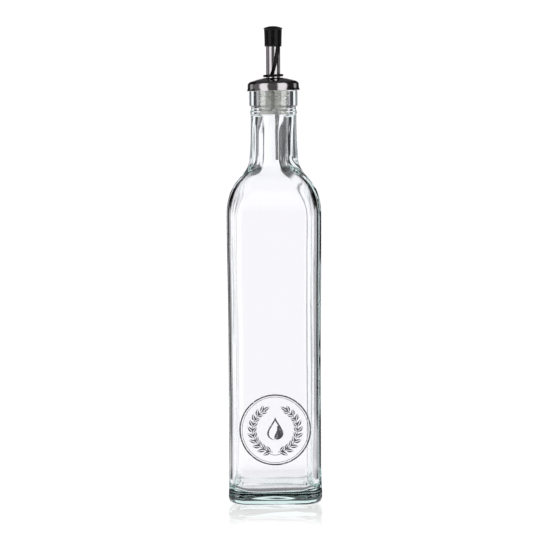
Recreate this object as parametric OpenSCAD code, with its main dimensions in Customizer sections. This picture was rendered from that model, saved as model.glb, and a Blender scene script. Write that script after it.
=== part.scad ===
// Square glass oil bottle, 500 ml, with a pull-out pourer.
// The origin is the middle of the base, on the surface that the bottle stands on. Z points up
// and the printed face looks towards -Y.

/* [Bottle] */
// Height of the glass, from the table to the lip
bottle_h = 261; // [210:1:320]
// Width across the flats at the waist
body_w = 58.2; // [48:0.1:72]
// How much further each flat stands out just below the shoulder
shoulder_swell = 0.6; // [0:0.1:2]
// Length below the shoulder over which that swell fades out
swell_h = 85; // [40:1:90]
// How much further each flat stands out at the heel
heel_swell = 0.7; // [0:0.1:1.5]
// Radius of the upright corners
corner_r = 9; // [6:0.5:16]
// Radius of the heel, where the walls turn under
heel_r = 5; // [2:0.1:6]
// Height of the shoulder, from the straight walls to the neck
shoulder_h = 36.5; // [28:0.5:50]
// Thickness of the glass walls
wall = 3; // [2:0.1:4]
// Thickness of the glass floor
floor_t = 7.5; // [5:0.5:10]
// Height of the hollow pressed into the underside
punt_h = 1.8; // [0.5:0.1:3]
// Width of the flat ring that the bottle stands on
foot_w = 4; // [2:0.5:6]

/* [Neck] */
// Height of the neck, from the shoulder to the lip
neck_h = 42; // [36:1:60]
// Diameter of the ring round the mouth
lip_d = 31; // [26:0.1:38]
// How far the neck stands in from the mouth ring
neck_step = 0.9; // [0.5:0.1:2]
// How much the neck's radius grows towards its foot
neck_flare = 0.9; // [0.3:0.1:2.5]
// Height of the ring round the mouth
lip_h = 10; // [7:0.5:14]
// How far the small bead below the mouth ring stands out from the neck
bead_out = 0.3; // [0.1:0.1:0.8]
// Diameter of the bore
bore_d = 19.5; // [16:0.1:23]
// How much closer in the neck's inside stands below the plug
throat_step = 0.9; // [0.3:0.1:1.5]

/* [Pourer] */
// How far the plug goes into the neck
plug_h = 15.5; // [12:0.5:24]
// Radial clearance of the plug's ribs in the bore
plug_fit = 0.05; // [0.02:0.01:0.1]
// Number of ribs round the plug
ribs = 4; // [3:1:6]
// Height of each rib
rib_t = 1.4; // [1:0.1:1.8]
// Depth of the grooves between the ribs
rib_depth = 1.1; // [0.6:0.1:1.6]
// Thickness of the plug's flange on the lip
flange_t = 1.6; // [1:0.1:2.5]
// Radial room between the mouth ring and the steel dome's skirt
dome_room = 0.4; // [0.3:0.1:2]
// Height of the dome's flat top above the lip
dome_rise = 7.8; // [7:0.1:11]
// Width of the flat round the spout at the dome's top
dome_flat_w = 2.6; // [1.5:0.1:4]
// Radius of the dome's crown
crown_r = 42; // [36:1:80]
// Radius of the bend between the crown and the skirt
dome_bend_r = 2.6; // [1:0.1:3]
// How far the rim flares out beyond the skirt
rim_flare = 0.6; // [0.2:0.1:1.2]
// How far the rim comes down past the lip
rim_drop = 0.3; // [0.1:0.1:2]
// Thickness of the steel
steel_t = 0.5; // [0.3:0.05:0.8]
// Diameter of the spout tube
spout_d = 9; // [7:0.1:11]
// Height of the spout's tip above the lip
spout_rise = 37.3; // [30:0.1:60]
// Angle of the cut across the spout's tip
tip_cut = 15; // [0:1:25]
// Diameter of the air tube
vent_d = 3; // [2.4:0.1:3.4]
// Bore of the air tube
vent_bore = 1.8; // [1:0.1:2]
// How far the air tube hangs below the plug
vent_hang = 28.5; // [10:0.5:60]
// How far the air tube stops short of the spout's tip
vent_short = 3; // [2:0.5:3.4]

/* [Tip cap and tether] */
// Height of the cap's skirt, up to the flange at its top
cap_h = 11.1; // [9:0.1:16]
// Thickness of the cap's wall at its lower edge
cap_wall = 0.85; // [0.6:0.05:2]
// How much the cap's radius grows towards its top
cap_taper = 0.25; // [0:0.05:1]
// How far the thin flange at the cap's top stands out
cap_flange_out = 0.35; // [0.1:0.05:1]
// Height of the cap's rounded top above the flange
cap_crown = 1.3; // [0.6:0.1:3]
// Radial clearance of the cap on the spout
cap_fit = 0.05; // [0.02:0.01:0.1]
// Height of the tether's ring
ring_t = 1.6; // [1:0.1:2.5]
// Width of the ring's section
ring_w = 1.65; // [1.2:0.05:3]
// Angle at which the ring sits on the spout
ring_tilt = 2.5; // [0:0.5:4]
// Width of the strap
strap_w = 2.3; // [1.5:0.1:3]
// Thickness of the strap
strap_t = 1; // [0.6:0.1:1.3]

/* [Hidden] */
$fn = 96;
eps = 0.01;
gap = 0.3;                                      // between pieces that only pass each other

// Bottle
neck_z = bottle_h - neck_h;                     // foot of the neck
straight_z = neck_z - shoulder_h;               // top of the upright walls
flat_half = body_w / 2;
shoulder_half = flat_half + shoulder_swell;
heel_half = flat_half + heel_swell;
heel_fade = 24;                                 // height over which the heel's swell fades out
neck_pull = 13.5;                               // how long the shoulder holds the neck's direction
wall_pull = 25.5;                               // how long it holds the wall's direction
corner_thick = 1;                               // extra glass inside the corners
least_corner_r = 2;                             // no corner gets tighter than this
foot_tighten = 0.1;                             // corners tighten by this share of the heel's radius
bore_r = bore_d / 2;
throat_r = bore_r - throat_step;                // inside of the neck below the plug
throat_drop = 1;                                // the bore stays straight this far below the plug
throat_fade = 4;                                // height over which it narrows
neck_lap = 2;                                   // overlap of the neck with the shoulder
neck_skin = 0.2;                                // the neck's foot lies this far under the shoulder's skin
mouth_r = 0.8;                                  // rounding of the lip
flare_mid_z = neck_z + 8;                       // height at which the neck keeps flare_mid of its flare
flare_mid = 0.55;
flare_top_z = neck_z + 17;                      // and the height at which it keeps flare_top of it
flare_top = 0.28;
bead_drop = 3.9;                                // from the mouth ring down to the bead's middle
bead_h = 2.2;                                   // height of the bead
bead_clear = 3.5;                               // the neck is straight this far below the bead's middle
groove_in = 0.3;                                // depth of the groove under the mouth ring
groove_low = 1.2;                               // where the groove starts, below the ring
groove_top = 0.5;                               // and where it ends
ring_chamfer = 0.5;                             // lower edge of the mouth ring

// Pourer
spout_r = spout_d / 2;
spout_bore_r = spout_r - steel_t;
plug_z = bottle_h - plug_h;                     // lower end of the plug
web_t = 2.5;                                    // plug's floor, which carries the spout and air tube
plug_r = bore_r - plug_fit;
core_r = plug_r - rib_depth;
plug_nose = 0.8;                                // chamfer at the plug's lower end
rib_start = 0.4;                                // plain stretch between the chamfer and the first rib
plug_top_plain = 1;                             // plain stretch above the last rib's pitch
flange_r = lip_d / 2 - gap;
dome_z = bottle_h + dome_rise;                  // flat top of the dome
dome_r = lip_d / 2 + dome_room + steel_t;
dome_flat_r = spout_r + dome_flat_w;
rim_z = bottle_h - rim_drop;
flare_h = 1.5;                                  // height of the flared rim
hub_step = 0.6;                                 // the plug's hub is this much narrower than the flat
hub_r = dome_flat_r - hub_step;
spout_tip_z = bottle_h + spout_rise;
vent_r = vent_d / 2;
vent_room = 0.1;                                // between the air tube and the spout's bore
vent_x = spout_bore_r - vent_r - vent_room;     // the air tube lies to one side of the spout
vent_z = plug_z - vent_hang;
port_web = 0.8;                                 // between the oil port and the air tube's hole
oil_port_r = (spout_bore_r + vent_x - vent_r - port_web) / 2;
oil_port_x = oil_port_r - spout_bore_r;

// Tip cap and tether
cap_head = 0.3;                                 // space between the spout's tip and the cap
cap_bore_r = spout_r + cap_fit;
cap_foot_r = cap_bore_r + cap_wall;
cap_roof = 0.9;                                 // from the bore's roof up to the flange
cap_flange_z = spout_tip_z + cap_head + cap_roof;
cap_z = cap_flange_z - cap_h;                   // lower edge of the cap
cap_flange_t = 0.6;
cap_flange_edge = 0.2;                          // bevel under the flange's rim
cap_edge = 0.3;                                 // bevel at the cap's lower edge and below its flange
ring_bore_r = spout_r + gap;
ring_r = ring_bore_r + ring_w;
ring_z = dome_z + gap + ring_t / 2 + ring_r * sin(ring_tilt);
strap_front = -97;                              // direction in which the strap leaves the ring
strap_top = -52;                                // direction of the strap's end at the cap
lug_h = 1.6;                                    // small lug under the cap's edge that holds the strap
lug_in = spout_r + gap;
lug_drop = 0.5;                                 // the lug reaches this far below the cap's edge
lug_z = cap_z - lug_drop;
lug_side = 0.15;                                // the lug is this much wider than the strap, each side
lug_out = 0.5;                                  // and stands out this far beyond the cap's foot
lug_root = 0.4;                                 // it is cut back from this far inside its inner face
strap_room = 0.1;                               // between the strap and the lug's inner face
strap_r = lug_in + strap_t / 2 + strap_room;    // the strap's middle line beside the tube
strap_root = 0.4;                               // the strap starts this deep in the ring's edge
loop_r = 3;                                     // how far the strap's loop stands out from the ring
strap_rings = 30;
// Stretches of the strap's length, as [start, share]: it loops out, comes in, turns and climbs
strap_loop = 0.36;
strap_in = [0.1, 0.35];
strap_turn = [0.15, 0.8];
strap_climb = [0.12, 0.88];

function smooth(t) = let (u = min(1, max(0, t))) u * u * (3 - 2 * u);
function fold45(a) = let (m = (a % 90 + 90) % 90) m > 45 ? 90 - m : m;

// Distance from the axis to a square of half width h with corners of radius r, in direction a
function plan_reach(a, h, r) =
    let (b = fold45(a), c = h - r)
    h * tan(b) <= c
        ? h / cos(b)
        : c * (cos(b) + sin(b)) + sqrt(max(0, r * r - pow(c * (cos(b) - sin(b)), 2)));

// Directions of the plan's points: close together round the corners, wide apart on the flats
corner_steps = 6;
flat_steps = 3;
corner_from = atan2(flat_half - corner_r, flat_half);
quarter = concat(
    [for (i = [0:flat_steps - 1]) corner_from * i / flat_steps],
    [for (i = [0:corner_steps]) corner_from + (90 - 2 * corner_from) * i / corner_steps],
    [for (i = [1:flat_steps - 1]) 90 - corner_from + corner_from * i / flat_steps]
);
plan_dirs = [for (q = [0:3]) for (a = quarter) a + 90 * q];

function plan_ring(z, h, r) = [for (a = plan_dirs) let (d = plan_reach(a, h, r)) [d * cos(a), d * sin(a), z]];

// Half width of the upright walls at height z
function wall_half(z) =
    flat_half
    + shoulder_swell * smooth((z - straight_z + swell_h) / swell_h)
    + heel_swell * smooth(1 - z / heel_fade);

// Point of the shoulder's curve, from the neck (t = 0) to the walls (t = 1), as [half width, z]
function shoulder_curve(t, top_r, low_half, top_z, low_z) =
    let (u = 1 - t)
    u * u * u * [top_r, top_z]
    + 3 * u * u * t * [top_r, top_z - neck_pull]
    + 3 * u * t * t * [low_half, low_z + wall_pull]
    + t * t * t * [low_half, low_z];

shoulder_steps = 13;
wall_steps = 7;
heel_steps = 4;
inner_heel_r = 7;                               // fillet between the walls and the floor, inside
inner_corner_r = max(least_corner_r, corner_r - wall + corner_thick);
inner_top_r = throat_r + neck_skin;
lip_r = lip_d / 2;
neck_r = lip_r - neck_step;
outer_top_r = neck_r + neck_flare;
floor_crown = 0.8;                              // the floor rises a little in its middle

// Rings of the glass body: under the base, up the outside, over into the neck and down the inside
outer_under = [
    for (t = [0.35, 0.7, 1])
        let (h = (heel_half - heel_r - foot_w) * t)
        plan_ring(punt_h * (1 - t * t), h, h + (corner_r - heel_r - h) * t * 0.7)
];
outer_foot = [plan_ring(0, heel_half - heel_r, max(least_corner_r, corner_r - heel_r * foot_tighten))];
outer_heel = [
    for (i = [1:heel_steps])
        let (a = 90 * i / heel_steps)
        plan_ring(heel_r * (1 - cos(a)), wall_half(heel_r * (1 - cos(a))) - heel_r * (1 - sin(a)),
            max(least_corner_r, corner_r - heel_r * foot_tighten * (1 - sin(a))))
];
outer_wall = [
    for (i = [1:wall_steps])
        let (z = heel_r + (straight_z - heel_r) * i / wall_steps)
        plan_ring(z, wall_half(z), corner_r)
];
outer_shoulder = [
    for (i = [1:shoulder_steps])
        let (t = 1 - i / shoulder_steps,
            p = shoulder_curve(t, outer_top_r, shoulder_half, neck_z, straight_z))
        plan_ring(p[1], p[0], p[0] + (corner_r - p[0]) * smooth(t))
];
inner_shoulder = [
    for (i = [0:shoulder_steps])
        let (t = i / shoulder_steps,
            p = shoulder_curve(t, inner_top_r, shoulder_half - wall, neck_z, straight_z - wall / 2))
        plan_ring(p[1], p[0], p[0] + (inner_corner_r - p[0]) * smooth(t))
];
inner_low_z = floor_t + inner_heel_r;
inner_wall = [
    for (i = [1:wall_steps])
        let (z = straight_z - wall / 2 + (inner_low_z - straight_z + wall / 2) * i / wall_steps)
        plan_ring(z, wall_half(z) - wall, inner_corner_r)
];
inner_heel = [
    for (i = [1:heel_steps])
        let (a = 90 * i / heel_steps, h = wall_half(inner_low_z) - wall - inner_heel_r * (1 - cos(a)))
        plan_ring(inner_low_z - inner_heel_r * sin(a), h, inner_corner_r)
];
inner_floor = [
    for (t = [0.6, 0.25])
        let (h = (flat_half - wall - inner_heel_r) * t)
        plan_ring(floor_t + floor_crown * (1 - t * t), h, h + (inner_corner_r - h) * t)
];
glass_rings = concat(outer_under, outer_foot, outer_heel, outer_wall, outer_shoulder,
    inner_shoulder, inner_wall, inner_heel, inner_floor);

// Closed skin over a list of rings that all have the same number of points
module skin(rings) {
    n = len(rings[0]);
    m = len(rings);
    points = [for (ring = rings) for (p = ring) p];
    sides = [
        for (k = [0:m - 2]) for (i = [0:n - 1])
            let (a = k * n + i, b = k * n + (i + 1) % n)
            each [[a, a + n, b], [b, a + n, b + n]]
    ];
    first_cap = [[for (i = [0:n - 1]) i]];
    last_cap = [[for (i = [n - 1:-1:0]) (m - 1) * n + i]];
    polyhedron(points, concat(first_cap, sides, last_cap));
}

// Half section of the neck: [radius, z] from its foot up the outside, over the lip and down the bore
bead_r = neck_r + bead_out;
groove_r = neck_r - groove_in;
lip_z = bottle_h - lip_h;
bead_z = lip_z - bead_drop;
neck_line = concat(
    [
        [throat_r, neck_z - neck_lap],
        [outer_top_r - neck_skin, neck_z - neck_lap],
        [outer_top_r - neck_skin, neck_z],
        [neck_r + neck_flare * flare_mid, flare_mid_z],
        [neck_r + neck_flare * flare_top, flare_top_z],
        [neck_r, bead_z - bead_clear],
        [neck_r, bead_z - bead_h / 2]
    ],
    [for (a = [60, 30, 0, -30, -60]) [neck_r + (bead_r - neck_r) * cos(a), bead_z - bead_h / 2 * sin(a)]],
    [
        [neck_r, bead_z + bead_h / 2],
        [groove_r, lip_z - groove_low],
        [groove_r, lip_z - groove_top],
        [lip_r - ring_chamfer, lip_z],
        [lip_r, lip_z + ring_chamfer]
    ],
    [for (a = [0:22.5:90]) [lip_r - mouth_r * (1 - cos(a)), bottle_h - mouth_r * (1 - sin(a))]],
    [for (a = [90:-22.5:0]) [bore_r + mouth_r * (1 - cos(a)), bottle_h - mouth_r * (1 - sin(a))]],
    [[bore_r, plug_z - throat_drop], [throat_r, plug_z - throat_drop - throat_fade]]
);

module bottle() {
    color([0.80, 0.90, 0.86, 0.45]) {
        skin(glass_rings);
        rotate_extrude() polygon(neck_line);
    }
}

module stopper() {
    pitch = (plug_h - plug_nose - plug_top_plain) / ribs;
    color([0.72, 0.76, 0.68, 0.8])
    difference() {
        union() {
            translate([0, 0, plug_z]) cylinder(h = plug_nose, r1 = core_r - plug_nose, r2 = core_r);
            translate([0, 0, plug_z + plug_nose]) cylinder(h = plug_h - plug_nose + flange_t, r = core_r);
            for (i = [0:ribs - 1])
                translate([0, 0, plug_z + plug_nose + rib_start + pitch * i]) cylinder(h = rib_t, r = plug_r);
            translate([0, 0, bottle_h]) cylinder(h = flange_t, r = flange_r);
            translate([0, 0, bottle_h]) cylinder(h = dome_rise - steel_t, r = hub_r);
        }
        translate([0, 0, plug_z + web_t]) cylinder(h = plug_h + dome_rise, r = spout_r);
        translate([vent_x, 0, plug_z - eps]) cylinder(h = web_t + 2 * eps, r = vent_r, $fn = 48);
        translate([oil_port_x, 0, plug_z - eps]) cylinder(h = web_t + 2 * eps, r = oil_port_r, $fn = 48);
    }
}

// One face of the dome's sheet: the outer one at depth 0, the inner one at depth steel_t
function dome_line(depth) =
    let (
        centre_z = dome_z - sqrt(crown_r * crown_r - dome_flat_r * dome_flat_r),
        bend_x = dome_r - dome_bend_r,
        bend_reach = crown_r - dome_bend_r,
        bend_z = centre_z + sqrt(bend_reach * bend_reach - bend_x * bend_x),
        crown_end = asin(bend_x / bend_reach),
        crown_from = asin(dome_flat_r / crown_r)
    )
    concat(
        [[spout_r, dome_z - depth]],
        [
            for (i = [0:8])
                let (a = crown_from + (crown_end - crown_from) * i / 8)
                [(crown_r - depth) * sin(a), min(dome_z - depth, centre_z + (crown_r - depth) * cos(a))]
        ],
        [
            for (i = [1:5])
                let (a = crown_end + (90 - crown_end) * i / 5)
                [bend_x + (dome_bend_r - depth) * sin(a), bend_z + (dome_bend_r - depth) * cos(a)]
        ],
        [[dome_r - depth, rim_z + flare_h], [dome_r - depth + rim_flare, rim_z]]
    );

function reversed(list) = [for (i = [len(list) - 1:-1:0]) list[i]];

module dome_cap() {
    color([0.66, 0.65, 0.66])
    rotate_extrude() polygon(concat(dome_line(0), reversed(dome_line(steel_t))));
}

module spout_tube() {
    tube_z = plug_z + web_t;
    cut = spout_d * 2;
    color([0.70, 0.69, 0.70])
    difference() {
        translate([0, 0, tube_z]) cylinder(h = spout_tip_z - tube_z, r = spout_r);
        translate([0, 0, tube_z - eps]) cylinder(h = spout_tip_z, r = spout_bore_r);
        translate([spout_r, 0, spout_tip_z])
            rotate([0, -tip_cut, 0])
            translate([-cut, -cut / 2, 0]) cube([cut + spout_r, cut, cut]);
    }
}

module vent_tube() {
    vent_top = spout_tip_z - vent_short;
    color([0.78, 0.79, 0.78])
    translate([vent_x, 0, vent_z])
    difference() {
        cylinder(h = vent_top - vent_z, r = vent_r, $fn = 48);
        translate([0, 0, -eps]) cylinder(h = vent_top - vent_z + 2 * eps, r = vent_bore / 2, $fn = 48);
    }
}

// Half section of the cap: up the bore, across its roof, then down the outside from the crown
cap_head_r = cap_foot_r + cap_taper;
cap_flange_r = cap_head_r + cap_flange_out;
crown_sphere_r = (cap_flange_r * cap_flange_r + cap_crown * cap_crown) / (2 * cap_crown);
crown_end_a = asin(cap_flange_r / crown_sphere_r);
cap_line = concat(
    [[cap_bore_r, cap_z], [cap_bore_r, spout_tip_z + cap_head], [0, spout_tip_z + cap_head]],
    [
        for (i = [0:6])
            let (a = crown_end_a * i / 6)
            [crown_sphere_r * sin(a), cap_flange_z + cap_flange_t + cap_crown - crown_sphere_r * (1 - cos(a))]
    ],
    [
        [cap_flange_r, cap_flange_z + cap_flange_edge],
        [cap_head_r, cap_flange_z - cap_edge],
        [cap_foot_r, cap_z + cap_edge],
        [cap_foot_r - cap_edge, cap_z]
    ]
);

module tip_cap() {
    lug_w = strap_w + 2 * lug_side;
    lug_t = cap_foot_r + lug_out - lug_in;
    color([0.05, 0.05, 0.05]) {
        rotate_extrude() polygon(cap_line);
        difference() {
            rotate([0, 0, strap_top])
                translate([lug_in - lug_root, -lug_w / 2, lug_z]) cube([lug_t + lug_root, lug_w, lug_h]);
            cylinder(h = spout_tip_z, r = lug_in);
        }
    }
}

// The strap's middle line, from the ring (t = 0) to the cap (t = 1), as [radius, direction, height]
function strap_point(t) =
    let (
        rise = (lug_z - ring_z) * smooth((t - strap_climb[0]) / strap_climb[1]),
        bulge = loop_r * sin(180 * min(1, t / strap_loop)),
        root = ring_r - strap_root,
        out = root + (strap_r - root) * smooth((t - strap_in[0]) / strap_in[1]),
        r = out + bulge
    )
    [r, strap_front + (strap_top - strap_front) * smooth((t - strap_turn[0]) / strap_turn[1]), ring_z + rise];

function strap_xyz(t) = let (p = strap_point(t)) [p[0] * cos(p[1]), p[0] * sin(p[1]), p[2]];

function unit(v) = v / norm(v);

// Section of the strap: a flat strip whose width lies round the tube
function strap_section(t) =
    let (
        step = 0.01,
        along = unit(strap_xyz(min(1, t + step)) - strap_xyz(max(0, t - step))),
        dir = strap_point(t)[1],
        side = [-sin(dir), cos(dir), 0],
        across = unit(side - along * (side * along)),
        out = cross(across, along),
        w = strap_w / 2,
        h = strap_t / 2,
        c = 0.25
    )
    [
        for (q = [[-w, -h + c], [-w + c, -h], [w - c, -h], [w, -h + c],
                [w, h - c], [w - c, h], [-w + c, h], [-w, h - c]])
            strap_xyz(t) + across * q[0] + out * q[1]
    ];

module cap_strap() {
    color([0.06, 0.06, 0.06])
    difference() {
        skin([for (i = [0:strap_rings]) strap_section(i / strap_rings)]);
        translate([0, 0, lug_z]) cylinder(h = cap_h, r = ring_r + loop_r);
    }
}

module strap_ring() {
    r = 0.35;                                   // rounding of the ring's edges
    color([0.05, 0.05, 0.05])
    translate([0, 0, ring_z])
    rotate([0, -ring_tilt, 0])
    rotate_extrude()
        translate([ring_bore_r + r, -ring_t / 2 + r]) offset(r = r) square([ring_w - 2 * r, ring_t - 2 * r]);
}

bottle();
stopper();
dome_cap();
spout_tube();
vent_tube();
tip_cap();
cap_strap();
strap_ring();
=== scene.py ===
import bpy
import numpy as np
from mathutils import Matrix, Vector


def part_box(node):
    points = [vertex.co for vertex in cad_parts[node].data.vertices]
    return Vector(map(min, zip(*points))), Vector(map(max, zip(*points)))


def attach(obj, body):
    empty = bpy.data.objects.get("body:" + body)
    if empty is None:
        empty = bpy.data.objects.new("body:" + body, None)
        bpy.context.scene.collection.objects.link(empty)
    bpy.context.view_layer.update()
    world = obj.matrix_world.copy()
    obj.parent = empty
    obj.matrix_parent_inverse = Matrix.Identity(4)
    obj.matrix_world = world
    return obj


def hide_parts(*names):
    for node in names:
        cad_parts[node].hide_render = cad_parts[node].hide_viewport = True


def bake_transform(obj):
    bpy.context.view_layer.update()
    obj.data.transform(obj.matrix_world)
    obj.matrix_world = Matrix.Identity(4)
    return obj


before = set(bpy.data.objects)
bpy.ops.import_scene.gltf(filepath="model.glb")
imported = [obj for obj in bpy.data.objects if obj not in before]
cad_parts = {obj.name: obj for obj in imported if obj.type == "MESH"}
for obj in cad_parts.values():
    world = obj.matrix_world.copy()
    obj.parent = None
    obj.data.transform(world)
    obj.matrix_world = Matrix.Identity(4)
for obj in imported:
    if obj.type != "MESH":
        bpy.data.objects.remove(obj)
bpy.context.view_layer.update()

MM = 0.001

# ---- Camera -----------------------------------------------------------------------------------
# A long lens level with the bottle's mouth, looking a little down, so that the mouth is seen edge on
# and the foot from slightly above.
lip_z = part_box("bottle")[1].z
camera_far = 1400 * MM
camera_aside = 1.1 * MM
camera_z = lip_z + 3 * MM
aim_z = 143.6 * MM
camera_data = bpy.data.cameras.new("camera")
camera_data.lens = 144.3
camera_data.sensor_width = 36
camera_data.clip_start = 0.05
camera_data.clip_end = 50
camera = bpy.data.objects.new("camera", camera_data)
bpy.context.scene.collection.objects.link(camera)
camera.location = (camera_aside, -camera_far, camera_z)
look_down = np.arctan2(camera_z - aim_z, camera_far)
camera_roll = np.radians(-0.33)
camera.rotation_euler = (np.pi / 2 - look_down, -camera_roll, 0)
bpy.context.scene.camera = camera

# ---- Bottle -----------------------------------------------------------------------------------
# Soda glass blown in a square mould, with a faint green cast. The outside is nearly true to the
# mould, the inside wanders, the floor is thick and its underside is pressed into a shallow hollow.
# The neck is round, with a mouth ring, a groove and a small bead below it.
flat_half = 29.1 * MM
shoulder_swell = 0.6 * MM
swell_h = 85 * MM
heel_swell = 0.7 * MM
heel_fade = 24 * MM
corner_r = 9 * MM
heel_r = 5 * MM
foot_tighten = 0.1
wall = 3 * MM
floor_t = 7.5 * MM
floor_crown = 0.8 * MM
inner_heel_r = 7 * MM
inner_corner_r = 7 * MM
punt_h = 1.8 * MM
foot_w = 4 * MM
foot_edge = 0.3 * MM
hollow_round = 0.7
neck_h = 42 * MM
shoulder_h = 36.5 * MM
neck_pull = 13.5 * MM
wall_pull = 25.5 * MM
lip_r = 15.5 * MM
lip_h = 10 * MM
neck_r = 14.6 * MM
neck_flare = 0.9 * MM
flare_h = 24 * MM
bead_out = 0.35 * MM
bead_h = 2.4 * MM
bead_drop = 3.9 * MM
groove_in = 0.35 * MM
groove_edge = 1.2 * MM
ring_gap = 0.6 * MM
ring_edge = 0.7 * MM
ring_side_low = 1.2 * MM
ring_side_top = 0.3 * MM
mouth_r = 0.8 * MM
bore_r = 9.75 * MM
throat_r = 8.85 * MM
throat_step_h = 2 * MM
throat_step_up = 1 * MM
heel_uneven, wall_uneven, neck_uneven = 0.03 * MM, 0.06 * MM, 0.05 * MM
inner_wall_uneven, inner_shoulder_uneven, bore_uneven = 0.22 * MM, 0.30 * MM, 0.26 * MM
wall_calm_h = 30 * MM
bore_calm_h = 12 * MM
under_wave, floor_wave = 0.16 * MM, 0.30 * MM
plug_end_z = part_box("stopper")[0].z

glass_h = lip_z
neck_z = glass_h - neck_h
straight_z = neck_z - shoulder_h
ring_z = glass_h - lip_h
bead_z = ring_z - bead_drop


def smooth(t):
    """Rises from 0 to 1 with level ends: three t squared less two t cubed."""
    t = np.clip(t, 0, 1)
    return t * t * (3 - 2 * t)


def plan_reach(direction, half, corner):
    """Distance from the axis to a square with round corners. On a flat it is the half width over the
    cosine of the direction, and round a corner it is where the ray leaves the corner's circle."""
    turn = np.abs((direction + np.pi / 4) % (np.pi / 2) - np.pi / 4)
    centre = half - corner
    aside = centre * (np.cos(turn) - np.sin(turn))
    on_corner = centre * (np.cos(turn) + np.sin(turn)) + np.sqrt(np.maximum(corner**2 - aside**2, 0))
    return np.where(half * np.tan(turn) <= centre, half / np.cos(turn), on_corner)


def wall_half(z):
    """Half width of the upright walls: the waist, plus a swell towards the shoulder and the heel."""
    swell = shoulder_swell * smooth((z - straight_z + swell_h) / swell_h)
    return flat_half + swell + heel_swell * smooth(1 - z / heel_fade)


def shoulder_curve(t, neck_half, low_half, low_z):
    """Cubic curve from the neck's foot to the top of the walls, upright at both ends."""
    u = 1 - t
    half = (u**3 + 3 * u * u * t) * neck_half + (3 * u * t * t + t**3) * low_half
    z = u**3 * neck_z + 3 * u * u * t * (neck_z - neck_pull)
    return half, z + 3 * u * t * t * (low_z + wall_pull) + t**3 * low_z


def neck_outside(z):
    """Radius of the neck: a flare at its foot, then the bead and the groove under the mouth ring."""
    flare = neck_flare * np.clip(1 - (z - neck_z) / flare_h, 0, 1) ** 2
    bead = bead_out * np.cos(np.pi * np.clip((z - bead_z) / bead_h, -0.5, 0.5)) ** 2
    groove = groove_in * smooth((z - bead_z - bead_h / 2) / groove_edge)
    return neck_r + flare + bead - groove


def rows(half, corner, z, ripple_in=0.0, ripple_out=0.0, wave=0.0):
    """Equal-length columns of half width, corner radius, height, the inner and outer ripple's depth,
    and the height of the waves on a level face."""
    columns = (half, corner, z, ripple_in, ripple_out, wave)
    return np.stack(np.broadcast_arrays(*(np.atleast_1d(v).astype(float) for v in columns)), 1)


def ripple(direction, z, seed, counts, drift, reach):
    """Uneven glass: waves that go round the bottle a whole number of times each, and wander sideways
    by some radians (drift) as they climb through a given height (reach)."""
    rng = np.random.default_rng(seed)
    total = np.zeros(np.broadcast(direction, z).shape)
    for count in counts:
        size, phase, bend, sway = rng.normal(), *rng.uniform(0, 2 * np.pi, 3)
        lean = drift * (np.sin(z / reach + bend) + 0.6 * np.sin(2.3 * z / reach + sway))
        swell = 1 + 0.5 * np.sin(0.7 * z / reach + sway)
        total += size * np.cos(count * direction + phase + lean) * swell
    return total / np.sqrt(len(counts))


def outer_ripple(direction, z):
    """The slow ripple of the outside, which the printed mark follows too."""
    return ripple(direction, z, 13, (2, 3, 4, 5), 0.6, 0.06)


def closed_mesh(name, points, wrap_rows=False):
    """A mesh from rows of points that each go once round. The ends are closed with fans, unless the
    rows themselves meet, as on a ring."""
    count, around = points.shape[:2]
    row = np.arange(count if wrap_rows else count - 1)[:, None]
    side = np.arange(around)[None, :]
    ahead, beside = (row + 1) % count, (side + 1) % around
    corners = (row * around + side, row * around + beside, ahead * around + beside, ahead * around + side)
    faces = np.stack(corners, -1).reshape(-1, 4).tolist()
    vertices = points.reshape(-1, 3)
    if not wrap_rows:
        first, last, end = count * around, count * around + 1, (count - 1) * around
        ends = np.stack([points[0].mean(0), points[-1].mean(0)])
        vertices = np.vstack([vertices, ends])
        side = np.arange(around)
        beside = (side + 1) % around
        faces += np.stack([np.full(around, first), beside, side], 1).tolist()
        faces += np.stack([np.full(around, last), end + side, end + beside], 1).tolist()
    mesh = bpy.data.meshes.new(name)
    mesh.from_pydata(vertices.tolist(), [], faces)
    mesh.update()
    mesh.shade_smooth()
    piece = bpy.data.objects.new(name, mesh)
    bpy.context.scene.collection.objects.link(piece)
    return piece


def bend(start, end, count):
    """Angles of a bend in even steps, in radians, from limits in degrees."""
    return np.radians(np.linspace(start, end, count))


hollow_half = flat_half + heel_swell - heel_r - foot_w
t = np.linspace(0.04, 1, 12)
under = rows(hollow_half * t, hollow_half * t + (corner_r - heel_r - hollow_half * t) * t * hollow_round,
             punt_h * (1 - t * t), wave=under_wave * (1 - t * t))
foot_half = flat_half + heel_swell - heel_r
foot_corner = corner_r - foot_tighten * heel_r
foot = rows(np.linspace(hollow_half + foot_edge, foot_half, 3), foot_corner, 0)
a = bend(7, 90, 12)
z = heel_r * (1 - np.cos(a))
tuck = heel_r * (1 - np.sin(a))
heel = rows(wall_half(z) - tuck, corner_r - foot_tighten * tuck, z, 0, heel_uneven)
z = np.linspace(heel_r, straight_z, 84)[1:]
walls = rows(wall_half(z), corner_r, z, 0, wall_uneven * smooth(z / wall_calm_h))
t = np.linspace(1, 0, 52)[1:]
half, z = shoulder_curve(t, neck_r + neck_flare, flat_half + shoulder_swell, straight_z)
shoulder = rows(half, half + (corner_r - half) * smooth(t), z, 0, wall_uneven)
z = np.linspace(neck_z, ring_z - ring_gap, 90)[1:]
neck = rows(neck_outside(z), neck_outside(z), z, 0, neck_uneven)
a = bend(0, 90, 7)
radius = lip_r - ring_edge * (1 - np.sin(a))
ring_low = rows(radius, radius, ring_z + ring_edge * (1 - np.cos(a)))
z = np.linspace(ring_z + ring_side_low, glass_h - mouth_r - ring_side_top, 8)
ring_side = rows(lip_r, lip_r, z)
radius = lip_r - mouth_r * (1 - np.cos(a))
ring_top = rows(radius, radius, glass_h - mouth_r * (1 - np.sin(a)))
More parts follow.
